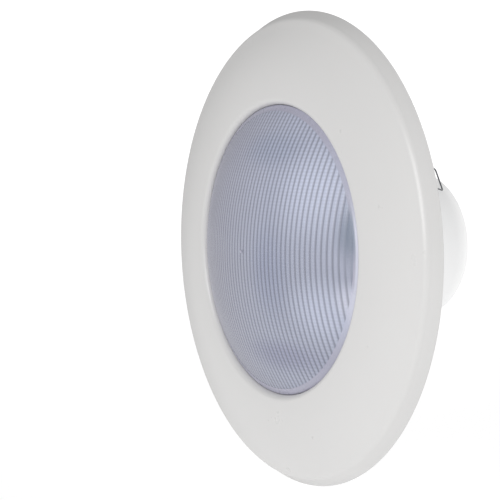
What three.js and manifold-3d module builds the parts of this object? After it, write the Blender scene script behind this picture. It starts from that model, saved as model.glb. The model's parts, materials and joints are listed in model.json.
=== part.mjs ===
// An underwater pool light: a domed trim ring over a sealed round LED lamp with a ribbed lens.
// Millimetres. The wall is the plane y = 0, -Y faces the pool, +Y runs into the wall, +Z is up.
import * as THREE from 'three';
import { mergeVertices } from 'three/addons/utils/BufferGeometryUtils.js';
import Module from 'manifold-3d';

const wasm = await Module();
wasm.setup();

// Driving dimensions
const TRIM_R = 134;           // outer radius, where the trim meets the wall
const TRIM_WALL = 2.5;        // moulded wall of the trim
const CREASE_R = 130;         // rounded edge between skirt and face
const CREASE_Y = -7.6;
const LIP_R = 84.4;           // crest of the rolled lip round the lens
const LIP_Y = -20;
const OPENING_R = 81.6;       // clear hole in the trim
const LENS_R = 80.8;          // foot of the lens dome
const LENS_FOOT_Y = -18.6;
const DOME_RISE = 24;
const LENS_WALL = 4;
const RIB_PITCH = 3.27;
const RIB_COUNT = 47;
const RIB_DEPTH = 0.9;
const RIBBED_R = 76.4;        // the ribs stop here and leave a smooth border
const FLANGE_R = 104;         // outer radius of the body flange and the clamp ring
const CLAMP_FRONT_Y = -14;
const LENS_FLANGE_Y = -11.3;  // front of the lens flange
const LENS_FLANGE_R = 91.5;
const LENS_FLANGE_T = 2.5;
const FLANGE_FRONT_Y = -7;    // front and back of the body flange
const FLANGE_BACK_Y = -4.2;
const BODY_R = 89;
const BODY_WALL = 3;
const NECK_R = 38.2;          // round neck that the rear cap pushes over
const NECK_END_Y = 66;
const CAP_R = 42;
const CAP_RIM_Y = 57;
const CAP_END_Y = 90;
const CAP_FILLET = 15.3;
const CAP_WALL = 3;              // wall of the cap's end
const POCKET_R = 15.5;        // sunk seat of the cable gland
const POCKET_Y = 82;
const GLAND_BORE_R = 4;
const GLAND_THREAD_R = 7.3;
const SCREW_CIRCLE_R = 98.5;
const SCREW_COUNT = 6;
const SCREW_R = 2;
const CLIP_ANGLES = [32, 152, 272];
const CLIP_PIVOT_R = 98;
const CLIP_PIVOT_Y = 1.2;
const CLIP_TIP_R = 76;
const CLIP_TIP_Y = 46;
const CLIP_HALF_WIDTH = 7.6;
const WIRE_R = 0.7;
const EAR_GAP = 8;
const PLATE_T = 1.2;
const GAP = 0.3;              // assembly gap between neighbouring pieces

const RING = 60;              // facets round a large, middle and small circle
const ROUND = 36;
const SMALL = 16;
const RIB_FACETS = 40;        // facets of a full circle along a rib

const rad = THREE.MathUtils.degToRad;
const root = new THREE.Group();

// Materials
const plastic = (color, roughness) => new THREE.MeshStandardMaterial({ color, roughness, metalness: 0 });
const metal = (color, roughness) => new THREE.MeshStandardMaterial({ color, roughness, metalness: 1 });
const whiteAbs = () => plastic(0xe2e2e4, 0.3);
const lampPlastic = () => plastic(0xd4d6d8, 0.4);
const blackRubber = () => plastic(0x232426, 0.85);
const clearPlastic = () => new THREE.MeshStandardMaterial({
  color: 0xb4b6cc, roughness: 0.15, metalness: 0, transparent: true, opacity: 0.5,
});
const steel = () => metal(0x8c8f94, 0.3);
const aluminium = () => metal(0xb9bcc0, 0.4);
const brass = () => metal(0xc2c0b8, 0.35);
const circuit = () => plastic(0x1f5a38, 0.5);

// Merges a geometry's corners, drops collapsed triangles and turns its faces outwards.
function closed(geometry) {
  const bare = geometry.index ? geometry.toNonIndexed() : geometry.clone();
  bare.deleteAttribute('normal');
  bare.deleteAttribute('uv');
  const merged = mergeVertices(bare, 1e-4);
  const at = merged.attributes.position;
  const corner = (i) => new THREE.Vector3().fromBufferAttribute(at, i);
  const source = merged.index.array;
  const faces = [];
  let volume = 0;
  for (let i = 0; i < source.length; i += 3) {
    const [a, b, c] = [source[i], source[i + 1], source[i + 2]];
    if (a !== b && b !== c && a !== c) {
      faces.push(a, b, c);
      volume += corner(a).dot(corner(b).cross(corner(c)));
    }
  }
  if (volume < 0) faces.reverse();
  merged.setIndex(faces);
  return merged;
}

function toSolid(geometry) {
  const shape = closed(geometry);
  return new wasm.Manifold(new wasm.Mesh({
    numProp: 3,
    vertProperties: new Float32Array(shape.attributes.position.array),
    triVerts: new Uint32Array(shape.index.array),
  }));
}

function toGeometry(solid) {
  const mesh = solid.getMesh();
  const geometry = new THREE.BufferGeometry();
  geometry.setAttribute('position', new THREE.BufferAttribute(mesh.vertProperties, 3));
  geometry.setIndex(new THREE.BufferAttribute(mesh.triVerts, 1));
  return geometry;
}

function addPart(parent, name, shape, material) {
  const geometry = shape.isBufferGeometry ? closed(shape) : toGeometry(shape);
  const mesh = new THREE.Mesh(geometry, material);
  mesh.name = name;
  parent.add(mesh);
  return mesh;
}

// Profile helpers: [radius, y] points
function arc(centreR, centreY, radius, from, to, steps) {
  const points = [];
  for (let i = 0; i <= steps; i += 1) {
    const angle = rad(from + ((to - from) * i) / steps);
    points.push([centreR + radius * Math.cos(angle), centreY + radius * Math.sin(angle)]);
  }
  return points;
}

function lathe(points, segments) {
  const profile = points.map(([r, y]) => new THREE.Vector2(r, y));
  const first = profile[0];
  const last = profile[profile.length - 1];
  if (first.x > 0 || last.x > 0) profile.push(first.clone());
  return new THREE.LatheGeometry(profile, segments);
}

const ring = (inner, outer, low, high, segments) => lathe(
  [[inner, low], [outer, low], [outer, high], [inner, high]], segments);

const disc = (radius, low, high, segments) => lathe(
  [[0, low], [radius, low], [radius, high], [0, high]], segments);

// A bar along Y at a polar place round the axis
function post(radius, low, high, placeR, angle, segments) {
  const shape = disc(radius, low, high, segments);
  return shape.translate(placeR * Math.cos(rad(angle)), 0, placeR * Math.sin(rad(angle)));
}

function block(width, length, height, x, y, z) {
  return new THREE.BoxGeometry(width, length, height).translate(x, y, z);
}

const screwAngles = Array.from({ length: SCREW_COUNT }, (_, i) => (i * 360) / SCREW_COUNT);

// Face of the trim: one arc from the crease up to the lip, with the given inward offset
function faceArc(offset, fromR, toR, steps) {
  const bend = 95;
  const centreR = LIP_R - 1;
  const centreY = LIP_Y + bend;
  const points = [];
  for (let i = 0; i <= steps; i += 1) {
    const r = fromR + ((toR - fromR) * i) / steps;
    points.push([r, centreY - Math.sqrt((bend - offset) ** 2 - (r - centreR) ** 2)]);
  }
  return points;
}

function trimRing() {
  const sleeveInner = FLANGE_R + 0.6;
  const sleeveOuter = sleeveInner + 2.2;
  const sleeveEnd = -1.6;
  const outside = [
    [TRIM_R - TRIM_WALL, 0],
    [TRIM_R, 0],
    [TRIM_R - 0.3, -1.6],
    ...arc(CREASE_R - 3, CREASE_Y + 2, 3.6, -8, -62, 3),
    ...faceArc(0, CREASE_R - 6, LIP_R + 2, 5),
    ...arc(LIP_R - 0.4, LIP_Y + 2.4, 2.4, -90, -170, 3),
    [OPENING_R, LIP_Y + 3.6],
    [LIP_R - 1, LIP_Y + 3.9],
  ];
  const inside = [
    ...faceArc(TRIM_WALL, LIP_R + 2, sleeveInner, 2),
    [sleeveInner, sleeveEnd],
    [sleeveOuter, sleeveEnd],
    ...faceArc(TRIM_WALL, sleeveOuter + 0.4, CREASE_R - 6, 3),
    [CREASE_R - 2.2, CREASE_Y + 2],
  ];
  return lathe([...outside, ...inside], RING);
}

// Ribs in the inner face of the dome: a ball turned about an X-parallel axis with a zigzag profile
function ribbedBall(innerR, centreY) {
  const profile = [];
  for (let i = -RIB_COUNT; i <= RIB_COUNT; i += 1) {
    const tilt = Math.asin((i * RIB_PITCH) / 2 / innerR);
    const reach = innerR + (i % 2 === 0 ? RIB_DEPTH : 0);
    profile.push([reach * Math.cos(tilt), reach * Math.sin(tilt)]);
  }
  const end = profile[profile.length - 1][1];
  const ball = lathe([[0, -end], ...profile, [0, end]], RIB_FACETS);
  return ball.rotateZ(-Math.PI / 2).translate(0, centreY, 0);
}

function lens() {
  const sphere = (LENS_R ** 2 + DOME_RISE ** 2) / (2 * DOME_RISE);
  const centreY = LENS_FOOT_Y - DOME_RISE + sphere;
  const innerSphere = sphere - LENS_WALL;
  const wallInnerR = LENS_R - 3;
  const edge = THREE.MathUtils.radToDeg(Math.asin(LENS_R / sphere));
  const innerEdge = THREE.MathUtils.radToDeg(Math.asin(wallInnerR / innerSphere));
  const flangeBack = LENS_FLANGE_Y + LENS_FLANGE_T;
  const shell = lathe([
    [0, centreY - sphere],
    ...arc(0, centreY, sphere, -90 + edge / 5, -90 + edge, 4),
    [LENS_R, LENS_FLANGE_Y],
    [LENS_FLANGE_R, LENS_FLANGE_Y],
    [LENS_FLANGE_R, flangeBack],
    [wallInnerR, flangeBack],
    ...arc(0, centreY, innerSphere, -90 + innerEdge, -90 + innerEdge / 3, 2),
    [0, centreY - innerSphere],
  ], RING);
  const inBorder = toSolid(disc(RIBBED_R, LENS_FOOT_Y - DOME_RISE, LENS_FLANGE_Y, ROUND));
  const ribs = toSolid(ribbedBall(innerSphere + 0.6, centreY)).intersect(inBorder);
  return toSolid(shell).subtract(ribs);
}

function clampRing() {
  const overLens = LENS_R + 2.4;
  const blank = lathe([
    [overLens, CLAMP_FRONT_Y],
    [FLANGE_R, CLAMP_FRONT_Y],
    [FLANGE_R, FLANGE_FRONT_Y - GAP],
    [LENS_FLANGE_R + GAP, FLANGE_FRONT_Y - GAP],
    [LENS_FLANGE_R + GAP, LENS_FLANGE_Y - GAP],
    [overLens, LENS_FLANGE_Y - GAP],
  ], RING);
  const holes = screwAngles.map((angle) => toSolid(
    post(SCREW_R + GAP, CLAMP_FRONT_Y + 1.6, 0, SCREW_CIRCLE_R, angle, 12)));
  return toSolid(blank).subtract(wasm.Manifold.union(holes));
}

function bodyShell() {
  const ledgeR = 80;
  const outside = [
    [BODY_R, FLANGE_BACK_Y],
    [BODY_R, 14],
    [86, 22],
    [81.5, 30],
    [75, 37.5],
    [66, 44],
    [56, 49.5],
    [47, 53.5],
    [NECK_R + 1.6, 56],
    [NECK_R, 56.6],
  ];
  const neck = [
    [NECK_R, 59],
    [NECK_R - 1.6, 59],
    [NECK_R - 1.6, 61.6],
    [NECK_R, 61.6],
    [NECK_R, NECK_END_Y],
    [NECK_R - 4.4, NECK_END_Y],
    [NECK_R - 4.4, 54.5],
  ];
  const inside = [
    [54.5, 46.6],
    [64.5, 41],
    [73, 34.8],
    [79.2, 28],
    [83.2, 20.6],
    [BODY_R - BODY_WALL, 13],
    [BODY_R - BODY_WALL, 7],
    [ledgeR, 5],
    [ledgeR, 2.4],
    [BODY_R - BODY_WALL, 2.4],
    [BODY_R - BODY_WALL, FLANGE_FRONT_Y],
  ];
  const blank = lathe(
    [[FLANGE_R, FLANGE_FRONT_Y], [FLANGE_R, FLANGE_BACK_Y], ...outside, ...neck, ...inside], ROUND);
  const holes = screwAngles.map((angle) => toSolid(
    post(SCREW_R + GAP, FLANGE_FRONT_Y - 1, FLANGE_BACK_Y + 1, SCREW_CIRCLE_R, angle, 12)));
  return toSolid(blank).subtract(wasm.Manifold.union(holes));
}

function rearCap() {
  const innerR = NECK_R + 0.5;
  const shoulderR = CAP_R - CAP_FILLET;
  const shoulderY = CAP_END_Y - CAP_FILLET;
  const holeR = GLAND_THREAD_R + GAP;
  return lathe([
    [innerR, CAP_RIM_Y],
    [CAP_R + 1.4, CAP_RIM_Y],
    [CAP_R + 1.4, CAP_RIM_Y + 2.4],
    [CAP_R, CAP_RIM_Y + 3.4],
    ...arc(shoulderR, shoulderY, CAP_FILLET, 0, 90, 6),
    [POCKET_R, CAP_END_Y],
    [POCKET_R, POCKET_Y],
    [holeR, POCKET_Y],
    [holeR, POCKET_Y - CAP_WALL],
    [POCKET_R + CAP_WALL, POCKET_Y - CAP_WALL],
    [POCKET_R + CAP_WALL, CAP_END_Y - CAP_WALL],
    ...arc(shoulderR, shoulderY, CAP_FILLET - CAP_WALL, 90, 0, 4),
  ], ROUND);
}

// A screw along Y with its head at the back, driven towards the front
function screw(headY, length, shankR, headR, headHeight) {
  const shank = toSolid(disc(shankR, headY - length, headY + 0.5, 8));
  const head = toSolid(lathe([
    [0, headY], [headR, headY], [headR, headY + headHeight * 0.6],
    [headR * 0.75, headY + headHeight], [0, headY + headHeight],
  ], 10));
  const slotDepth = headHeight * 0.5;
  const slotY = headY + headHeight;
  const crossA = toSolid(block(headR * 1.1, slotDepth * 2, 0.8, 0, slotY, 0));
  const crossB = toSolid(block(0.8, slotDepth * 2, headR * 1.1, 0, slotY, 0));
  return shank.add(head).subtract(crossA.add(crossB));
}

function ledBoard(boardR, backY) {
  const thickness = 1.6;
  const ledSize = 5;
  const ledHeight = 1.6;
  const frontY = backY - thickness;
  const pieces = [toSolid(disc(boardR, frontY, backY, ROUND))];
  [[6, 20], [12, 42], [18, 64]].forEach(([count, placeR]) => {
    for (let i = 0; i < count; i += 1) {
      const led = new THREE.BoxGeometry(ledSize, ledHeight + 0.4, ledSize);
      led.translate(placeR, frontY - ledHeight / 2 + 0.2, 0);
      led.rotateY(-((i + 0.5) * 2 * Math.PI) / count);
      pieces.push(toSolid(led));
    }
  });
  return wasm.Manifold.union(pieces);
}

function heatSink(plateR, frontY, backY) {
  const pieces = [toSolid(disc(plateR, frontY, backY, ROUND))];
  const finCount = 9;
  const finPitch = 11;
  for (let i = 0; i < finCount; i += 1) {
    const x = (i - (finCount - 1) / 2) * finPitch;
    const reach = Math.sqrt(62 ** 2 - x ** 2);
    pieces.push(toSolid(block(2, 12.5, reach * 2, x, backY + 6, 0)));
  }
  return wasm.Manifold.union(pieces);
}

function driverBoard(frontY) {
  const thickness = 1.6;
  const face = frontY + thickness;
  const on = (width, height, depth, x, z) => toSolid(
    block(width, height + 0.4, depth, x, face + height / 2 - 0.2, z));
  const can = (radius, height, x, z) => toSolid(
    disc(radius, face - 0.2, face + height, 14).translate(x, 0, z));
  return wasm.Manifold.union([
    toSolid(block(84, thickness, 56, 0, frontY + thickness / 2, 0)),
    on(17, 8, 20, -24, 6),
    on(6, 2, 8, 2, -8),
    on(9, 1.6, 9, 16, -16),
    on(12, 6, 5, -2, 20),
    can(5, 10, -4, 6),
    can(5, 10, 8, 8),
    can(3.2, 7, 4, -20),
  ]);
}

function receiverModule(baseY) {
  const card = toSolid(block(20, 13, 1.2, 26, baseY + 6.5, 12));
  const chip = toSolid(block(7, 5, 1.8, 26, baseY + 7.5, 13.2));
  const header = toSolid(block(14, 2.6, 4, 26, baseY + 1.3, 12));
  return wasm.Manifold.union([card, chip, header]);
}

function terminalBlock(baseY) {
  const body = toSolid(block(22, 9, 9, -16, baseY + 4.5, -16));
  const wells = [-7, 0, 7].map((x) => toSolid(disc(2, baseY + 5, baseY + 12, 10).translate(x - 16, 0, -16)));
  return body.subtract(wasm.Manifold.union(wells));
}

// A wire bail: two stubs in the bracket's ears, two legs and a cross bar
function wirePath() {
  const stub = EAR_GAP / 2 - 1.2;
  const w = CLIP_HALF_WIDTH;
  const bend = 2.4;
  const rest = new THREE.Vector2(CLIP_TIP_R - CLIP_PIVOT_R, CLIP_TIP_Y - CLIP_PIVOT_Y);
  const length = rest.length();
  const along = rest.clone().normalize();
  const at = (distance, side) => new THREE.Vector3(
    CLIP_PIVOT_R + along.x * distance, CLIP_PIVOT_Y + along.y * distance, side);
  const path = new THREE.CurvePath();
  const line = (a, b) => path.add(new THREE.LineCurve3(a, b));
  const corner = (a, b, c) => path.add(new THREE.QuadraticBezierCurve3(a, b, c));
  line(at(0, -stub), at(0, bend - w));
  corner(at(0, bend - w), at(0, -w), at(bend, -w));
  line(at(bend, -w), at(length - bend, -w));
  corner(at(length - bend, -w), at(length, -w), at(length, bend - w));
  line(at(length, bend - w), at(length, w - bend));
  corner(at(length, w - bend), at(length, w), at(length - bend, w));
  line(at(length - bend, w), at(bend, w));
  corner(at(bend, w), at(0, w), at(0, w - bend));
  line(at(0, w - bend), at(0, stub));
  return path;
}

function wireClip() {
  const section = new THREE.Shape();
  section.absarc(0, 0, WIRE_R, 0, Math.PI * 2);
  return new THREE.ExtrudeGeometry(section, {
    steps: 44, curveSegments: 3, extrudePath: wirePath(), bevelEnabled: false,
  });
}

function clipBracket() {
  const baseY = FLANGE_BACK_Y + GAP;
  const earTop = CLIP_PIVOT_Y + 3.4;
  const half = EAR_GAP / 2;
  const outline = new THREE.Shape();
  outline.moveTo(-half - PLATE_T, baseY);
  outline.lineTo(half + PLATE_T, baseY);
  outline.lineTo(half + PLATE_T, earTop);
  outline.lineTo(half, earTop);
  outline.lineTo(half, baseY + PLATE_T);
  outline.lineTo(-half, baseY + PLATE_T);
  outline.lineTo(-half, earTop);
  outline.lineTo(-half - PLATE_T, earTop);
  const depth = 8;
  const channel = new THREE.ExtrudeGeometry(outline, { depth, bevelEnabled: false });
  channel.rotateY(Math.PI / 2).translate(CLIP_PIVOT_R - depth / 2, 0, 0);
  const hole = new THREE.CylinderGeometry(WIRE_R + 0.35, WIRE_R + 0.35, 30, 12);
  hole.rotateX(Math.PI / 2).translate(CLIP_PIVOT_R, CLIP_PIVOT_Y, 0);
  return toSolid(channel).subtract(toSolid(hole));
}

function glandBody() {
  const collarY = POCKET_Y + 1.4;
  const collar = new THREE.CylinderGeometry(10.5, 10.5, 3.2, 6).translate(0, collarY + 1.6, 0);
  const stem = ring(GLAND_BORE_R, GLAND_THREAD_R, POCKET_Y - 8.4, collarY + 9, ROUND);
  const bore = disc(GLAND_BORE_R, POCKET_Y - 20, CAP_END_Y + 20, ROUND);
  return toSolid(collar).add(toSolid(stem)).subtract(toSolid(bore));
}

function glandNut() {
  const low = POCKET_Y + 5;
  const high = CAP_END_Y + 7.5;
  const seat = POCKET_Y + 11.2;
  const grip = new THREE.CylinderGeometry(10.2, 10.2, 8, 8).translate(0, low + 4, 0);
  const dome = lathe([
    [0, low + 1], [8.8, low + 1], [8.8, high - 2.2], [7.6, high - 0.6], [6.6, high], [0, high],
  ], 24);
  const hollow = lathe([
    [0, low - 1], [GLAND_THREAD_R + GAP, low - 1], [GLAND_THREAD_R + GAP, seat + 3.2],
    [GLAND_BORE_R + 0.4, seat + 3.2], [GLAND_BORE_R + 0.4, high + 1], [0, high + 1],
  ], 24);
  return toSolid(grip).add(toSolid(dome)).subtract(toSolid(hollow));
}

function locknut() {
  const low = POCKET_Y - CAP_WALL - GAP - 3.2;
  const hex = new THREE.CylinderGeometry(10.5, 10.5, 3.2, 6).translate(0, low + 1.6, 0);
  const hole = disc(GLAND_THREAD_R + GAP, low - 1, low + 5, 24);
  return toSolid(hex).subtract(toSolid(hole));
}

// Front assembly: lens, clamp, body and their seal
addPart(root, 'trim_ring', trimRing(), whiteAbs());
addPart(root, 'lens', lens(), clearPlastic());
addPart(root, 'clamp_ring', clampRing(), lampPlastic());
const gasketFront = LENS_FLANGE_Y + LENS_FLANGE_T + 0.1;
const gasket = ring(BODY_R - 2.6, LENS_FLANGE_R - 0.6, gasketFront, FLANGE_FRONT_Y - 0.1, ROUND);
addPart(root, 'lens_gasket', gasket, blackRubber());
addPart(root, 'body_shell', bodyShell(), lampPlastic());

screwAngles.forEach((angle, i) => {
  const seat = FLANGE_BACK_Y + 0.2;
  const mesh = addPart(root, `clamp_screw_${i + 1}`, screw(seat, 7.6, SCREW_R, 3.6, 2.2), steel());
  mesh.position.set(SCREW_CIRCLE_R * Math.cos(rad(angle)), 0, SCREW_CIRCLE_R * Math.sin(rad(angle)));
});

// Light engine
const SINK_FRONT_Y = -2;
const SINK_BACK_Y = 2.1;
const BOARD_Y = 22;
const boardPosts = [[-37, 23], [37, 23], [37, -23], [-37, -23]];
const reflector = lathe([
  [76.2, SINK_FRONT_Y - GAP], [79.4, gasketFront], [84.4, gasketFront], [84.4, SINK_FRONT_Y - GAP],
], ROUND);
const sink = heatSink(83.5, SINK_FRONT_Y, SINK_BACK_Y);
const sinkHoles = boardPosts.map(([x, z]) => toSolid(
  disc(4, SINK_BACK_Y + 0.01, SINK_BACK_Y + 20, SMALL).translate(x, 0, z)));
addPart(root, 'heat_sink', sink.subtract(wasm.Manifold.union(sinkHoles)), aluminium());
addPart(root, 'led_board', ledBoard(75.5, SINK_FRONT_Y - GAP), plastic(0xf2f2f0, 0.5));
addPart(root, 'reflector_ring', reflector, plastic(0xe8e9ee, 0.25));
addPart(root, 'driver_board', driverBoard(BOARD_Y), circuit());
addPart(root, 'receiver_module', receiverModule(BOARD_Y + 2), circuit());
addPart(root, 'terminal_block', terminalBlock(BOARD_Y + 2), plastic(0x3b7d4e, 0.5));
boardPosts.forEach(([x, z], i) => {
  const spacer = disc(3, SINK_BACK_Y + GAP, BOARD_Y - GAP, 12).translate(x, 0, z);
  addPart(root, `board_spacer_${i + 1}`, spacer, brass());
  const mesh = addPart(root, `board_screw_${i + 1}`, screw(BOARD_Y + 1.9, 0, 1.2, 2.6, 1.8), steel());
  mesh.position.set(x, 0, z);
});

// Rear cap and cable gland
addPart(root, 'rear_cap', rearCap(), whiteAbs());
addPart(root, 'cap_seal', lathe(arc(NECK_R - 0.65, 60.3, 0.85, 0, 300, 5), ROUND), blackRubber());
addPart(root, 'gland_body', glandBody(), brass());
const washer = ring(GLAND_THREAD_R + 0.4, 10, POCKET_Y + 0.2, POCKET_Y + 1.2, SMALL);
addPart(root, 'gland_washer', washer, blackRubber());
addPart(root, 'gland_locknut', locknut(), brass());
addPart(root, 'gland_seal', ring(GLAND_BORE_R, 6.6, POCKET_Y + 10.8, POCKET_Y + 13.6, SMALL), blackRubber());
addPart(root, 'gland_nut', glandNut(), brass());

// Sprung wire clips, hinged in brackets on the back of the body flange
CLIP_ANGLES.forEach((angle, i) => {
  const station = new THREE.Group();
  station.rotation.y = -rad(angle);
  addPart(station, `clip_bracket_${i + 1}`, clipBracket(), steel());
  addPart(station, `wire_clip_${i + 1}`, wireClip(), steel());
  root.add(station);
});

export default root;
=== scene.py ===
"""Looks of an underwater pool light. Metres; -Y faces the pool, +Z is up."""
import json
import math

import bmesh
import bpy
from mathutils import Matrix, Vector


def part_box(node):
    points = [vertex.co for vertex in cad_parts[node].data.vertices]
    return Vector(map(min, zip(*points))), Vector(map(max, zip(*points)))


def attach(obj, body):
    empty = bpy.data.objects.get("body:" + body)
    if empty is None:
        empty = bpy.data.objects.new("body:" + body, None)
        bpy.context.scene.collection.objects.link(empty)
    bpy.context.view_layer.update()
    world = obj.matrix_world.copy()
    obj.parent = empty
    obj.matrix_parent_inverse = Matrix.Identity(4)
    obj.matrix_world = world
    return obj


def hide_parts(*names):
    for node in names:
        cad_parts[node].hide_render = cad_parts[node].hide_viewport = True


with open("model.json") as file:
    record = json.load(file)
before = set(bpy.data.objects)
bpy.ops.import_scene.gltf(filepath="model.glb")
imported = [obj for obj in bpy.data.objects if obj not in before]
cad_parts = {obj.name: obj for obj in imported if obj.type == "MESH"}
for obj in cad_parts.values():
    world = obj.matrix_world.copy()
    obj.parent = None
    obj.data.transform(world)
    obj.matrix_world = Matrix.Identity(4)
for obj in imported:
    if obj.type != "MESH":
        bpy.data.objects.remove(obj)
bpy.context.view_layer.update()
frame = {"nodes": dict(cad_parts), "record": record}
MM = 0.001

# ---------------------------------------------------------------- sizes, from the frame
TRIM_LOW, TRIM_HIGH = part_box("trim_ring")
LENS_LOW, LENS_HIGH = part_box("lens")
BODY_LOW, BODY_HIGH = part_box("body_shell")
CAP_LOW, CAP_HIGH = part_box("rear_cap")
BOARD_FRONT_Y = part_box("led_board")[0][1]

TRIM_R = TRIM_HIGH[2]
LIP_Y = TRIM_LOW[1]
TRIM_WALL = 2.5 * MM
CREASE_R = TRIM_R - 4 * MM
CREASE_Y = -7.6 * MM
LIP_R = TRIM_R - 49.6 * MM
OPENING_R = LIP_R - 2.8 * MM
FACE_BEND = 95 * MM
LIP_ROLL = 3.4 * MM
SLEEVE_R = BODY_HIGH[2] + 0.6 * MM

APEX_Y = LENS_LOW[1]
DOME_RISE = 25.2 * MM
LENS_FOOT_Y = APEX_Y + DOME_RISE
LENS_R = OPENING_R - 0.05 * MM
FLANGE_BACK_Y = LENS_HIGH[1]
FLANGE_T = 2.5 * MM
FLANGE_R = LENS_HIGH[2]
RIBBED_R = 78.1 * MM
RIB_PITCH = 3.27 * MM
BEAD_PITCH = 1.85 * MM
# Painted shade and painted light patches on the ribs and the lens border: centre and reach in
# millimetres, strength, colour.
LENS_PAINTED_SHADE_AND_LIGHT = [
    ((13, 0, 57), (38, 400, 14), 0.6, (0.27, 0.30, 0.395)),
    ((22, 0, -57), (42, 400, 13), 0.8, (0.255, 0.265, 0.365)),
    ((24, 0, -10), (22, 400, 36), 0.75, (0.275, 0.30, 0.405)),
    ((50, 0, 34), (30, 400, 34), 0.7, (0.47, 0.50, 0.61)),
    ((60, 0, -30), (30, 400, 24), 0.8, (0.49, 0.52, 0.64)),
    ((77, 0, 14), (12, 400, 22), 1.0, (0.2, 0.235, 0.305)),
    ((75, 0, -24), (12, 400, 14), 0.7, (0.58, 0.59, 0.69)),
]

CAP_END_Y = CAP_HIGH[1]
CAP_RIM_Y = CAP_LOW[1]
CAP_R = CAP_HIGH[0] - 1.4 * MM
CAP_FILLET = 15.3 * MM
CAP_WALL = 3 * MM

# A wire clip's lean from its pivot, inwards and back, in millimetres.
CLIP_LEAN = (-22.0, 44.8)
CLIP_REACH = math.hypot(*CLIP_LEAN)
# Each wire clip's body and its place round the axis, in degrees.
CLIPS = {
    "wire_clip_1": ("clip_right", 32),
    "wire_clip_2": ("clip_left", 152),
    "wire_clip_3": ("clip_bottom", 272),
}


# ---------------------------------------------------------------- material helpers
def new_material(name, color, roughness, metallic=0.0):
    material = bpy.data.materials.new(name)
    material.use_nodes = True
    shader = material.node_tree.nodes["Principled BSDF"]
    shader.inputs["Base Color"].default_value = (*color, 1)
    shader.inputs["Roughness"].default_value = roughness
    shader.inputs["Metallic"].default_value = metallic
    return material


def shader_of(material):
    return material.node_tree.nodes["Principled BSDF"]


def add(material, kind, **values):
    node = material.node_tree.nodes.new(kind)
    for key, value in values.items():
        setattr(node, key, value)
    return node


def join(material, source, target):
    material.node_tree.links.new(source, target)


def place(material):
    """Object coordinates, in metres."""
    return add(material, "ShaderNodeTexCoord").outputs["Object"]


def stretched(material, scale):
    """Object coordinates multiplied by scale = (x, y, z)."""
    mapping = add(material, "ShaderNodeMapping")
    mapping.inputs["Scale"].default_value = scale
    join(material, place(material), mapping.inputs["Vector"])
    return mapping.outputs["Vector"]


def noise(material, vector, scale, detail=3.0, roughness=0.5):
    node = add(material, "ShaderNodeTexNoise")
    node.inputs["Scale"].default_value = scale
    node.inputs["Detail"].default_value = detail
    node.inputs["Roughness"].default_value = roughness
    join(material, vector, node.inputs["Vector"])
    return node.outputs["Fac"]


def remap(material, value, low, high, to_low, to_high, kind="LINEAR"):
    node = add(material, "ShaderNodeMapRange", interpolation_type=kind)
    numbers = (low, high, to_low, to_high)
    for key, number in zip(("From Min", "From Max", "To Min", "To Max"), numbers):
        node.inputs[key].default_value = number
    join(material, value, node.inputs["Value"])
    return node.outputs["Result"]


def length(material, vector):
    node = add(material, "ShaderNodeVectorMath", operation="LENGTH")
    join(material, vector, node.inputs[0])
    return node.outputs["Value"]


def dot(material, vector, direction):
    node = add(material, "ShaderNodeVectorMath", operation="DOT_PRODUCT")
    node.inputs[1].default_value = direction
    join(material, vector, node.inputs[0])
    return node.outputs["Value"]


def blend_colors(material, factor, first, second):
    node = add(material, "ShaderNodeMix", data_type="RGBA")
    sockets = [s for s in node.inputs if s.type == "RGBA"]
    for socket, color in zip(sockets, (first, second)):
        if isinstance(color, tuple):
            socket.default_value = (*color, 1)
        else:
            join(material, color, socket)
    join(material, factor, node.inputs["Factor"])
    return [s for s in node.outputs if s.type == "RGBA"][0]


def calculate(material, operation, *values):
    node = add(material, "ShaderNodeMath", operation=operation)
    for socket, value in zip(node.inputs, values):
        if isinstance(value, (int, float)):
            socket.default_value = value
        else:
            join(material, value, socket)
    return node.outputs["Value"]


def coordinate(material, axis):
    """One object coordinate, in metres."""
    split = add(material, "ShaderNodeSeparateXYZ")
    join(material, place(material), split.inputs["Vector"])
    return split.outputs[axis]


def ripple(material, distance, pitch):
    """Cosine along a coordinate: 1 at the middle of each rib, -1 in each groove."""
    turns = calculate(material, "MULTIPLY", distance, 2 * math.pi / pitch)
    return calculate(material, "COSINE", turns)


def spot(material, centre, reach, inner, outer):
    """1 at a place on the object, 0 past its reach; centre and reach in millimetres."""
    mapping = add(material, "ShaderNodeMapping", vector_type="TEXTURE")
    mapping.inputs["Location"].default_value = [c * MM for c in centre]
    mapping.inputs["Scale"].default_value = [r * MM for r in reach]
    join(material, place(material), mapping.inputs["Vector"])
    far = length(material, mapping.outputs["Vector"])
    return remap(material, far, inner, outer, 1.0, 0.0, "SMOOTHSTEP")


def bump(material, height, strength, distance):
    node = add(material, "ShaderNodeBump")
    node.inputs["Strength"].default_value = strength
    node.inputs["Distance"].default_value = distance
    join(material, height, node.inputs["Height"])
    return node.outputs["Normal"]


def varied(name, color, roughness, spread=0.04, grain=400.0, depth=0.02, rough_spread=0.06):
    """A moulded surface: soft colour drift, patchy gloss and a fine grain of depth millimetres."""
    material = new_material(name, color, roughness)
    shader = shader_of(material)
    drift = noise(material, place(material), 9.0, 4.0)
    darker = tuple(c * (1 - spread) for c in color)
    lighter = tuple(min(1.0, c * (1 + spread)) for c in color)
    factor = remap(material, drift, 0.3, 0.7, 0.0, 1.0)
    join(material, blend_colors(material, factor, darker, lighter), shader.inputs["Base Color"])
    patch = noise(material, place(material), 38.0, 5.0, 0.6)
    gloss = remap(material, patch, 0.3, 0.7, roughness - rough_spread, roughness + rough_spread)
    join(material, gloss, shader.inputs["Roughness"])
    fine = noise(material, place(material), grain, 2.0)
    join(material, bump(material, fine, 0.35, depth * MM), shader.inputs["Normal"])
    return material


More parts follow.
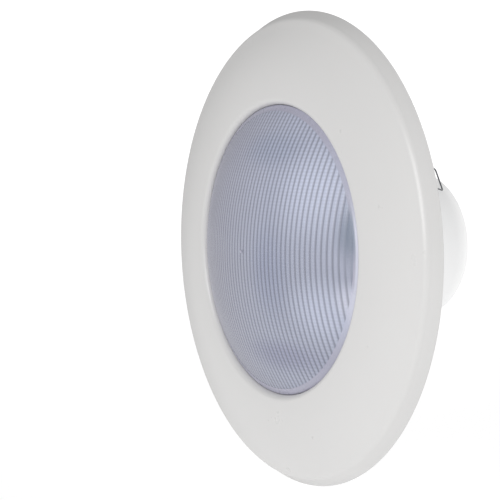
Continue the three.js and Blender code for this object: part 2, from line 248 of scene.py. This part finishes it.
def drawn_metal(name, color, roughness, scale):
    """Metal with fine lines along one direction."""
    material = new_material(name, color, roughness, 1.0)
    shader = shader_of(material)
    lines = noise(material, stretched(material, scale), 60.0, 4.0, 0.65)
    darker = tuple(c * 0.82 for c in color)
    lighter = tuple(min(1.0, c * 1.12) for c in color)
    join(material, blend_colors(material, lines, darker, lighter), shader.inputs["Base Color"])
    gloss = remap(material, lines, 0.3, 0.7, roughness - 0.07, roughness + 0.1)
    join(material, gloss, shader.inputs["Roughness"])
    join(material, bump(material, lines, 0.25, 0.02 * MM), shader.inputs["Normal"])
    return material


# ---------------------------------------------------------------- materials
def white_plastic(name, color):
    """Satin moulded plastic, with less gloss where it turns away from the eye."""
    material = varied(name, color, 0.3, spread=0.012, grain=260.0, depth=0.012, rough_spread=0.03)
    shader = shader_of(material)
    facing = add(material, "ShaderNodeLayerWeight").outputs["Facing"]
    satin = remap(material, facing, 0.6, 0.95, 0.0, 0.5)
    gloss = shader.inputs["Roughness"].links[0].from_socket
    join(material, calculate(material, "ADD", gloss, satin), shader.inputs["Roughness"])
    return material


def lens_clear():
    """Outer skin of the lens, almost clear."""
    material = varied("clear_polycarbonate", (0.72, 0.74, 0.86), 0.12,
                      spread=0.01, grain=40.0, depth=0.002, rough_spread=0.02)
    shader_of(material).inputs["Alpha"].default_value = 0.07
    shader_of(material).inputs["Specular IOR Level"].default_value = 1.0
    return material


def with_painted_shade_and_light(material, tint):
    """A colour with soft painted shade and painted light patches on it."""
    for centre, reach, strength, color in LENS_PAINTED_SHADE_AND_LIGHT:
        patch = spot(material, centre, reach, 0.15, 1.0)
        share = calculate(material, "MULTIPLY", patch, strength)
        tint = blend_colors(material, share, tint, color)
    return tint


def lens_border():
    """Smooth frosted edge of the lens with painted shade and light patches, and a painted highlight
    on its rim on the right.
    """
    material = varied("frosted_polycarbonate", (0.37, 0.365, 0.45), 0.3, spread=0.03, grain=600.0)
    color = shader_of(material).inputs["Base Color"]
    tint = with_painted_shade_and_light(material, color.links[0].from_socket)
    # Painted highlight: a pale band along the rim of the lens on the right.
    from_axis = length(material, stretched(material, (1, 0, 1)))
    painted_rim_highlight = remap(material, from_axis, 78.7 * MM, 79.5 * MM, 0, 1)
    painted_rim_highlight = calculate(material, "MULTIPLY", painted_rim_highlight, spot(material, (81, 0, -2), (30, 400, 46), 0.3, 1.0))
    join(material, blend_colors(material, painted_rim_highlight, tint, (0.56, 0.57, 0.66)), color)
    return material


def lens_ribs():
    """Fluted layer: pale crowns with painted shade in the grooves and along fine cross beads,
    painted shade and light patches, a painted lighter top and a painted greyer -X side.
    """
    material = new_material("ribbed_polycarbonate", (0.4, 0.42, 0.52), 0.34)
    shader = shader_of(material)
    shader.inputs["Specular IOR Level"].default_value = 0.3
    across = coordinate(material, "X")
    up = coordinate(material, "Z")
    flute = ripple(material, across, RIB_PITCH)
    bead = ripple(material, up, BEAD_PITCH)
    # Painted shade: the ribs are painted greyer and darker towards -X than towards +X.
    side = remap(material, across, -0.05, 0.02, 0, 1)
    tint = blend_colors(material, side, (0.335, 0.335, 0.395), (0.35, 0.37, 0.46))
    tint = with_painted_shade_and_light(material, tint)

    # Painted shade: the grooves between the ribs are painted darker, less so near the right edge.
    painted_groove_shade = remap(material, flute, -0.95, 0.2, 0.58, 1.0)
    quiet = spot(material, (78, 0, 10), (11, 400, 34), 0.2, 1.0)
    faded = calculate(material, "SUBTRACT", 0.85, painted_groove_shade)
    faded = calculate(material, "MULTIPLY", faded, quiet)
    painted_groove_shade = calculate(material, "ADD", painted_groove_shade, faded)

    ends = remap(material, calculate(material, "ABSOLUTE", up), 0.015, 0.055, 0.02, 0.075)
    near = remap(material, across, -0.06, 0.0, 0.15, 1.0)
    beads = calculate(material, "MULTIPLY", calculate(material, "MULTIPLY", bead, ends), near)
    # Painted shade: the colour also darkens and lightens along the fine cross beads.
    painted_bead_shade = calculate(material, "ADD", 0.985, beads)

    # Painted light: the ribs are painted lighter towards the top of the lens.
    painted_top_light = remap(material, up, -0.01, 0.04, 1.0, 1.22)
    shade = calculate(material, "MULTIPLY", painted_groove_shade, painted_bead_shade)
    shade = calculate(material, "MULTIPLY", shade, painted_top_light)
    mixed = add(material, "ShaderNodeVectorMath", operation="SCALE")
    join(material, tint, mixed.inputs[0])
    join(material, shade, mixed.inputs["Scale"])
    join(material, mixed.outputs["Vector"], shader.inputs["Base Color"])
    join(material, bump(material, beads, 0.5, 0.05 * MM), shader.inputs["Normal"])
    return material


def board_green():
    """Solder mask over a fine grid of tracks."""
    material = varied("circuit_board", (0.03, 0.17, 0.08), 0.4, spread=0.2, grain=500.0)
    shader = shader_of(material)
    tracks = add(material, "ShaderNodeTexBrick")
    tracks.inputs["Scale"].default_value = 260.0
    tracks.inputs["Color1"].default_value = (0.03, 0.17, 0.08, 1)
    tracks.inputs["Color2"].default_value = (0.035, 0.20, 0.09, 1)
    tracks.inputs["Mortar"].default_value = (0.06, 0.30, 0.15, 1)
    tracks.inputs["Mortar Size"].default_value = 0.03
    join(material, place(material), tracks.inputs["Vector"])
    join(material, tracks.outputs["Color"], shader.inputs["Base Color"])
    return material


MATERIALS = {
    "white_plastic": white_plastic("white_abs", (0.625, 0.62, 0.615)),
    "cap_plastic": white_plastic("bright_white_abs", (0.93, 0.93, 0.93)),
    "lens_clear": lens_clear(),
    "lens_border": lens_border(),
    "lens_ribs": lens_ribs(),
    "lamp_plastic": varied("lamp_plastic", (0.66, 0.67, 0.69), 0.45,
                           spread=0.02, grain=700.0, depth=0.03),
    "black_rubber": varied("black_rubber", (0.03, 0.03, 0.033), 0.75,
                           spread=0.15, grain=1200.0, depth=0.04),
    "steel": drawn_metal("stainless_steel", (0.42, 0.43, 0.45), 0.3, (1.0, 8.0, 1.0)),
    "wire": drawn_metal("spring_wire", (0.16, 0.165, 0.175), 0.35, (1.0, 0.4, 1.0)),
    "aluminium": drawn_metal("aluminium", (0.72, 0.73, 0.75), 0.38, (6.0, 1.0, 1.0)),
    "nickel_brass": drawn_metal("nickel_brass", (0.66, 0.64, 0.58), 0.28, (1.0, 10.0, 1.0)),
    "board_white": varied("solder_mask_white", (0.82, 0.83, 0.83), 0.42, spread=0.015, grain=800.0),
    "board_green": board_green(),
    "terminal_green": varied("terminal_nylon", (0.08, 0.36, 0.17), 0.5, spread=0.05),
    "phosphor": varied("led_phosphor", (0.78, 0.62, 0.12), 0.35, spread=0.08, grain=1500.0),
}


# ---------------------------------------------------------------- mesh helpers
def finish_piece(mesh, material, body, sharp=32.0):
    """The object of a finished mesh, under the mesh's name, riding on its body."""
    for polygon in mesh.polygons:
        polygon.use_smooth = True
    mesh.set_sharp_from_angle(angle=math.radians(sharp))
    piece = bpy.data.objects.new(mesh.name, mesh)
    bpy.context.scene.collection.objects.link(piece)
    piece.data.materials.append(MATERIALS[material])
    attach(piece, body)
    return piece


def arc(centre_r, centre_y, radius, start, end, steps):
    """Profile points (r, y) on an arc; angles in degrees."""
    points = []
    for i in range(steps + 1):
        angle = math.radians(start + (end - start) * i / steps)
        points.append((centre_r + radius * math.cos(angle), centre_y + radius * math.sin(angle)))
    return points


def circle_point(radius, k, sides):
    angle = 2 * math.pi * k / sides
    return radius * math.cos(angle), radius * math.sin(angle)


def band(work, first, second):
    """Faces between two rings of vertices."""
    for k in range(len(first)):
        n = (k + 1) % len(first)
        work.faces.new((first[k], second[k], second[n], first[n]))


def closed_mesh(work, name):
    """The mesh of a finished closed shape, with its faces outward."""
    mesh = bpy.data.meshes.new(name)
    bmesh.ops.recalc_face_normals(work, faces=work.faces)
    work.to_mesh(mesh)
    work.free()
    return mesh


def turned(name, profile, segments):
    """A closed solid turned about the Y axis; the profile closes on itself or ends on the axis."""
    work = bmesh.new()
    rings = []
    for r, y in profile:
        if r < 1e-7:
            rings.append([work.verts.new((0, y, 0))])
            continue
        ring = []
        for k in range(segments):
            x, z = circle_point(r, k, segments)
            ring.append(work.verts.new((x, y, z)))
        rings.append(ring)
    count = len(rings)
    last = count if len(rings[0]) > 1 else count - 1
    for i in range(last):
        a = rings[i]
        b = rings[(i + 1) % count]
        if len(a) == len(b):
            if len(a) > 1:
                band(work, a, b)
            continue
        for k in range(segments):
            n = (k + 1) % segments
            if len(a) == 1:
                work.faces.new((a[0], b[k], b[n]))
            else:
                work.faces.new((a[k], b[0], a[n]))
    return closed_mesh(work, name)


def smooth_line(points, steps):
    """Points on a Catmull-Rom curve through the given (r, y) points."""
    out = []
    count = len(points)
    for i in range(count - 1):
        four = (points[max(i - 1, 0)], points[i], points[i + 1], points[min(i + 2, count - 1)])
        for s in range(steps):
            t = s / steps
            out.append(tuple(
                0.5 * (2 * b + (c - a) * t
                       + (2 * a - 5 * b + 4 * c - d) * t * t
                       + (3 * b - a - 3 * c + d) * t ** 3)
                for a, b, c, d in zip(*four)))
    out.append(points[-1])
    return out


def tube(name, points, radius, sides):
    """A closed round tube along a line of points."""
    work = bmesh.new()
    rings = []
    side = None
    for i, point in enumerate(points):
        ahead = points[min(i + 1, len(points) - 1)] - points[max(i - 1, 0)]
        ahead.normalize()
        if side is None:
            side = ahead.orthogonal().normalized()
        side = (side - ahead * side.dot(ahead)).normalized()
        other = ahead.cross(side)
        ring = []
        for k in range(sides):
            u, v = circle_point(radius, k, sides)
            ring.append(work.verts.new(point + side * u + other * v))
        rings.append(ring)
    for a, b in zip(rings, rings[1:]):
        band(work, a, b)
    work.faces.new(rings[0])
    work.faces.new(rings[-1])
    return closed_mesh(work, name)


# ---------------------------------------------------------------- trim ring
def face_line(offset, start, end, steps):
    """The domed face of the trim between two radii, offset below the outside."""
    centre_r = LIP_R - 1 * MM
    centre_y = LIP_Y + FACE_BEND
    points = []
    for i in range(steps + 1):
        r = start + (end - start) * i / steps
        points.append((r, centre_y - math.sqrt((FACE_BEND - offset) ** 2 - (r - centre_r) ** 2)))
    return points


def build_trim():
    edge = 0.6 * MM
    inner = SLEEVE_R
    outer = SLEEVE_R + 2.2 * MM
    sleeve_y = -1.9 * MM
    chamfer = 0.3 * MM
    profile = [(TRIM_R - TRIM_WALL, 0), (TRIM_R - 0.5 * MM, 0)]
    profile += arc(TRIM_R - edge, -edge, edge, 80, -14, 5)
    profile += arc(CREASE_R - 4.57 * MM, CREASE_Y + 3.16 * MM, 5.4 * MM, -14, -63, 16)
    profile += face_line(0, CREASE_R - 4.8 * MM, OPENING_R + 4.2 * MM, 24)
    profile += arc(OPENING_R + LIP_ROLL, LIP_Y + LIP_ROLL, LIP_ROLL, -90, -176, 14)
    profile += [(OPENING_R, LIP_Y + 4.4 * MM), (LIP_R - 1 * MM, LIP_Y + 4.7 * MM)]
    profile += face_line(TRIM_WALL + 1.4 * MM, LIP_R + 0.4 * MM, LIP_R + 1.6 * MM, 2)
    profile += face_line(TRIM_WALL, LIP_R + 3 * MM, inner - 0.01 * MM, 8)
    profile += [(inner, sleeve_y), (inner + chamfer, sleeve_y + chamfer)]
    profile += [(outer - chamfer, sleeve_y + chamfer), (outer, sleeve_y)]
    profile += face_line(TRIM_WALL, outer + 0.4 * MM, CREASE_R - 6 * MM, 10)
    profile += [(CREASE_R - 2.2 * MM, CREASE_Y + 2 * MM)]
    mesh = turned("trim_ring_moulding", profile, 256)
    piece = finish_piece(mesh, "white_plastic", "trim")
    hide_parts("trim_ring")


# ---------------------------------------------------------------- lens
def dome_y(r, depth):
    """Height of the dome's surface at radius r, depth below the outside."""
    sphere = (LENS_R ** 2 + DOME_RISE ** 2) / (2 * DOME_RISE)
    return LENS_FOOT_Y - DOME_RISE + sphere - math.sqrt((sphere - depth) ** 2 - r ** 2)


def build_lens_shell():
    wall_r = LENS_R - 3 * MM
    edge = 0.6 * MM
    skin = 0.9 * MM
    steps = 40
    inner_r = wall_r - 0.2 * MM
    profile = [(0, dome_y(0, 0))]
    profile += [(LENS_R * i / steps, dome_y(LENS_R * i / steps, 0)) for i in range(1, steps)]
    profile += arc(LENS_R - edge, LENS_FOOT_Y + edge / 2, edge, -60, 0, 5)
    profile += [
        (LENS_R, FLANGE_BACK_Y - FLANGE_T),
        (FLANGE_R, FLANGE_BACK_Y - FLANGE_T),
        (FLANGE_R, FLANGE_BACK_Y),
        (wall_r, FLANGE_BACK_Y),
    ]
    for i in range(steps):
        r = inner_r * (steps - i) / steps
        profile.append((r, dome_y(r, skin)))
    profile.append((0, dome_y(0, skin)))
    piece = finish_piece(turned("lens_dome", profile, 192), "lens_clear", "lamp")
    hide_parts("lens")


def build_lens_border():
    """Smooth ring between the ribs and the edge of the lens."""
    steps = 8
    inner = RIBBED_R - 0.1 * MM
    outer = LENS_R - 0.7 * MM
    radii = [inner + (outer - inner) * i / steps for i in range(steps + 1)]
    edge = 0.25 * MM
    back_y = LENS_FOOT_Y + 4.5 * MM
    profile = [(r, dome_y(r, 0.45 * MM)) for r in radii]
    profile += [(LENS_R - edge, LENS_FOOT_Y + 0.5 * MM), (LENS_R - edge, back_y), (inner, back_y)]
    finish_piece(turned("lens_border", profile, 192), "lens_border", "lamp")


def build_gate_mark():
    """Small moulding mark at the middle of the dome."""
    profile = [(0, -0.12), (0.7, -0.12), (0.9, -0.02), (0.9, 0.3), (0, 0.3)]
    profile = [(r * MM, APEX_Y + y * MM) for r, y in profile]
    finish_piece(turned("lens_gate_mark", profile, 24), "lens_border", "lamp")


def build_lens_ribs():
    """Ribbed layer of the lens: vertical half-round ribs across a disc that follows the dome."""
    step = RIB_PITCH / 8
    rows = 80
    rib_height = 0.36 * MM
    front = 0.5 * MM
    back = 3.6 * MM
    limit = RIBBED_R - 0.05 * MM
    inside = int(limit / step)
    places = [-limit] + [step * i for i in range(-inside, inside + 1)] + [limit]
    work = bmesh.new()
    fronts = []
    backs = []
    for x in places:
        reach = math.sqrt(RIBBED_R ** 2 - x ** 2)
        rib = rib_height * (1 - abs(math.cos(math.pi * x / RIB_PITCH)))
        top = []
        under = []
        for j in range(rows + 1):
            z = -reach + 2 * reach * j / rows
            r = math.hypot(x, z)
            top.append(work.verts.new((x, dome_y(r, front + rib), z)))
            under.append(work.verts.new((x, dome_y(r, back), z)))
        fronts.append(top)
        backs.append(under)
    last = len(places) - 1
    for i in range(last):
        for j in range(rows):
            work.faces.new((fronts[i][j], fronts[i + 1][j], fronts[i + 1][j + 1], fronts[i][j + 1]))
            work.faces.new((backs[i][j], backs[i][j + 1], backs[i + 1][j + 1], backs[i + 1][j]))
        for j in (0, rows):
            work.faces.new((fronts[i][j], fronts[i + 1][j], backs[i + 1][j], backs[i][j]))
    for i in (0, last):
        for j in range(rows):
            work.faces.new((fronts[i][j], fronts[i][j + 1], backs[i][j + 1], backs[i][j]))
    finish_piece(closed_mesh(work, "lens_ribs"), "lens_ribs", "lamp", sharp=50.0)


# ---------------------------------------------------------------- rear cap and housing
def build_cap():
    inner_r = CAP_R - 3.3 * MM
    bead_r = CAP_R + 1.4 * MM
    edge = 0.6 * MM
    shoulder_r = CAP_R - CAP_FILLET
    shoulder_y = CAP_END_Y - CAP_FILLET
    pocket_r = 15.5 * MM
    pocket_y = CAP_END_Y - 8 * MM
    pocket_edge = 0.8 * MM
    hole_r = 7.6 * MM
    profile = [(inner_r, CAP_RIM_Y)]
    profile += arc(bead_r - edge, CAP_RIM_Y + edge, edge, -90, 0, 4)
    profile += arc(bead_r - edge, CAP_RIM_Y + 3 * edge, edge, 0, 60, 4)
    profile += [(CAP_R + 0.2 * MM, CAP_RIM_Y + 3.0 * MM), (CAP_R, CAP_RIM_Y + 3.6 * MM)]
    profile += arc(shoulder_r, shoulder_y, CAP_FILLET, 0, 90, 24)
    profile += arc(pocket_r + pocket_edge, CAP_END_Y - pocket_edge, pocket_edge, 90, 180, 5)
    profile += [(pocket_r, pocket_y), (hole_r, pocket_y), (hole_r, pocket_y - CAP_WALL)]
    profile += [(pocket_r + CAP_WALL, pocket_y - CAP_WALL)]
    profile += [(pocket_r + CAP_WALL, CAP_END_Y - CAP_WALL)]
    profile += arc(shoulder_r, shoulder_y, CAP_FILLET - CAP_WALL, 90, 0, 12)
    mesh = turned("rear_cap_moulding", profile, 160)
    piece = finish_piece(mesh, "cap_plastic", "cap")
    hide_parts("rear_cap")


def build_housing():
    outside_mm = [(89, 8), (88.9, 14), (86, 22), (81.5, 30), (75, 37.5),
                  (66, 44), (56, 49.5), (47, 53.5), (40.2, 55.8)]
    inside_mm = [(54.5, 46.6), (64.5, 41), (73, 34.8), (79.2, 28), (83.2, 20.6), (86, 13)]
    outside = smooth_line([(r * MM, y * MM) for r, y in outside_mm], 6)
    inside = smooth_line([(r * MM, y * MM) for r, y in inside_mm], 5)
    edge = 0.4 * MM
    flange_r = BODY_HIGH[2]
    front_y = BODY_LOW[1]
    back_y = front_y + 2.8 * MM
    neck_r = 38.2 * MM
    neck_end = BODY_HIGH[1]
    groove_r = neck_r - 1.6 * MM
    bore_r = neck_r - 4.4 * MM
    profile = [(flange_r - edge, front_y), (flange_r, front_y + edge)]
    profile += [(flange_r, back_y - edge), (flange_r - edge, back_y)]
    profile += arc(90.2 * MM, back_y + 1.2 * MM, 1.2 * MM, -90, -180, 5)
    profile += outside
    profile += [(neck_r, 56.6 * MM), (neck_r, 59 * MM), (groove_r, 59 * MM)]
    profile += [(groove_r, 61.6 * MM), (neck_r, 61.6 * MM)]
    profile += [(neck_r, neck_end - 2 * edge), (neck_r - 2 * edge, neck_end)]
    profile += [(bore_r, neck_end), (bore_r, 54.5 * MM)]
    profile += inside
    profile += [(86 * MM, 7 * MM), (80 * MM, 5 * MM), (80 * MM, 2.4 * MM)]
    profile += [(86 * MM, 2.4 * MM), (86 * MM, front_y)]
    mesh = turned("housing_bowl", profile, 192)
    piece = finish_piece(mesh, "lamp_plastic", "lamp")
    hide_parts("body_shell")


# ---------------------------------------------------------------- wire clips
def clip_points():
    """The bail in its own plane: distance along the leg and sideways place, in millimetres."""
    width = 6.8
    stub = 2.8
    bend = 1.3

    def corner(along, side, start):
        angles = [math.radians(start + 15 * k) for k in range(7)]
        return [(along + bend * math.cos(a), side + bend * math.sin(a)) for a in angles]

    points = [(0.0, -stub), (0.0, bend - width)]
    points += corner(bend, bend - width, 180)[1:]
    points += [(CLIP_REACH * 0.35, -width), (CLIP_REACH * 0.7, -width)]
    points += corner(CLIP_REACH - bend, bend - width, 270)
    points += [(CLIP_REACH, 0.0)]
    points += corner(CLIP_REACH - bend, width - bend, 0)
    points += [(CLIP_REACH * 0.7, width), (CLIP_REACH * 0.35, width)]
    points += corner(bend, width - bend, 90)
    points += [(0.0, stub)]
    return points


def build_clips():
    pivot_r = 98.0
    pivot_y = 1.2
    wire_r = 0.42 * MM
    along_r = CLIP_LEAN[0] / CLIP_REACH
    along_y = CLIP_LEAN[1] / CLIP_REACH
    for node, (body, degrees) in CLIPS.items():
        angle = math.radians(degrees)
        out = Vector((math.cos(angle), 0, math.sin(angle)))
        side = Vector((-out.z, 0, out.x))
        points = []
        for distance, sideways in clip_points():
            r = pivot_r + along_r * distance
            y = pivot_y + along_y * distance
            points.append((out * r + Vector((0, y, 0)) + side * sideways) * MM)
        name = node.replace("wire_clip", "wire_bail")
        piece = finish_piece(tube(name, points, wire_r, 16), "wire", body)
        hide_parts(node)


# ---------------------------------------------------------------- light-emitting diodes
def build_leds():
    radius = 1.9 * MM
    sides = 20
    work = bmesh.new()
    for count, ring_r in ((6, 20), (12, 42), (18, 64)):
        for i in range(count):
            angle = 2 * math.pi * (i + 0.5) / count
            across, up = ring_r * MM * math.cos(angle), ring_r * MM * math.sin(angle)
            centre = Vector((across, BOARD_FRONT_Y, up))
            rings = []
            for share, height in ((1.0, 0.02), (1.0, -0.12), (0.9, -0.3), (0.55, -0.42)):
                ring = []
                for k in range(sides):
                    x, z = circle_point(radius * share, k, sides)
                    ring.append(work.verts.new(centre + Vector((x, height * MM, z))))
                rings.append(ring)
            for a, b in zip(rings, rings[1:]):
                band(work, a, b)
            work.faces.new(rings[0])
            work.faces.new(rings[-1])
    finish_piece(closed_mesh(work, "led_domes"), "phosphor", "lamp")


# ---------------------------------------------------------------- CAD nodes that stay
def dress_nodes():
    """Materials and softened edges for the CAD nodes."""
    slots = {entry["node"]: entry["material_slot"] for entry in frame["record"]["subparts"]}
    for name, node in frame["nodes"].items():
        node.data.materials.clear()
        node.data.materials.append(MATERIALS[slots[name]])
        edge = node.modifiers.new("edge", "BEVEL")
        edge.width = 0.15 * MM
        edge.segments = 2
        edge.limit_method = "ANGLE"
        edge.angle_limit = math.radians(40)


# ---------------------------------------------------------------- stage and light
VIEW_AZ = 59.1
VIEW_EL = 4.05
VIEW_DISTANCE = 1.3
VIEW_LENS = 166.8
AIM_RIGHT = -15.5 * MM
AIM_DEPTH = -18.6 * MM


def view_back(azimuth, elevation):
    """Direction from the origin to a viewer at azimuth and elevation, in degrees."""
    a = math.radians(azimuth)
    e = math.radians(elevation)
    return Vector((math.sin(a) * math.cos(e), -math.cos(a) * math.cos(e), math.sin(e)))


# The floor's own light near the object and far away, and how it dims in front.
FLOOR_SIZE = 6.0
FLOOR_GLOW = (0.8, 0.98)
FLOOR_FRONT = (-0.3, -0.95, 0)
FLOOR_FADE = 0.72
# Towards, cosine where the glow begins and is full, strength outside and inside.
WORLD_GLOW = [
    (view_back(26, 22), 0.0, 1.0, 0.15, 0.52),
    (Vector((0.35, 0.94, 0)), 0.0, 0.7, 0.15, 1.12),
    (Vector((0, 0, -1)), -0.4, -0.05, 0.15, 0.5),
    (-view_back(VIEW_AZ, VIEW_EL), 0.97, 0.987, 0.15, 1.15),
]


def build_camera():
    back = view_back(VIEW_AZ, VIEW_EL)
    a = math.radians(VIEW_AZ)
    right = Vector((math.cos(a), math.sin(a), 0))
    data = bpy.data.cameras.new("camera")
    data.lens = VIEW_LENS
    data.sensor_width = 36
    data.clip_end = 50
    camera = bpy.data.objects.new("camera", data)
    camera.location = Vector((0, AIM_DEPTH, 0)) + right * AIM_RIGHT + back * VIEW_DISTANCE
    camera.rotation_euler = back.to_track_quat("Z", "Y").to_euler()
    bpy.context.scene.collection.objects.link(camera)
    bpy.context.scene.camera = camera


def build_key_light():
    """One square soft light, high in front and to the right."""
    back = view_back(27, 19)
    data = bpy.data.lights.new("key", "AREA")
    data.shape = "SQUARE"
    data.size = 0.9
    data.energy = 11.7
    key = bpy.data.objects.new("key", data)
    key.location = back * 1.6
    key.rotation_euler = back.to_track_quat("Z", "Y").to_euler()
    bpy.context.scene.collection.objects.link(key)


def build_world():
    """Even pale studio light: soft in front, brighter behind, white past the object."""
    world = bpy.data.worlds.new("studio")
    bpy.context.scene.world = world
    world.use_nodes = True
    background = world.node_tree.nodes["Background"]
    background.inputs["Color"].default_value = (1, 1, 1, 1)
    generated = add(world, "ShaderNodeTexCoord").outputs["Generated"]
    glow = None
    for towards, low, high, dim, bright in WORLD_GLOW:
        lobe = remap(world, dot(world, generated, towards), low, high, dim, bright, "SMOOTHSTEP")
        glow = lobe if glow is None else calculate(world, "MAXIMUM", glow, lobe)
    join(world, glow, background.inputs["Strength"])


def build_floor():
    """A pale floor that carries some light of its own."""
    z = -TRIM_R - 0.2 * MM
    s = FLOOR_SIZE
    mesh = bpy.data.meshes.new("floor")
    mesh.from_pydata([(-s, -s, z), (s, -s, z), (s, s, z), (-s, s, z)], [], [(0, 1, 2, 3)])
    floor = bpy.data.objects.new("floor", mesh)
    bpy.context.scene.collection.objects.link(floor)
    material = new_material("floor", (0.32, 0.32, 0.32), 0.9)
    shader = shader_of(material)
    shader.inputs["Emission Color"].default_value = (1, 1, 1, 1)
    glow = remap(material, length(material, place(material)), 0.4, 2.5, *FLOOR_GLOW)
    front = dot(material, place(material), FLOOR_FRONT)
    fade = remap(material, front, 0.12, 0.6, 1.0, FLOOR_FADE)
    join(material, calculate(material, "MULTIPLY", glow, fade), shader.inputs["Emission Strength"])
    mesh.materials.append(material)


bpy.context.scene.view_settings.view_transform = "Standard"
build_camera()
build_world()
build_key_light()
build_floor()
build_trim()
build_lens_shell()
build_lens_border()
build_gate_mark()
build_lens_ribs()
build_cap()
build_housing()
build_clips()
build_leds()
dress_nodes()
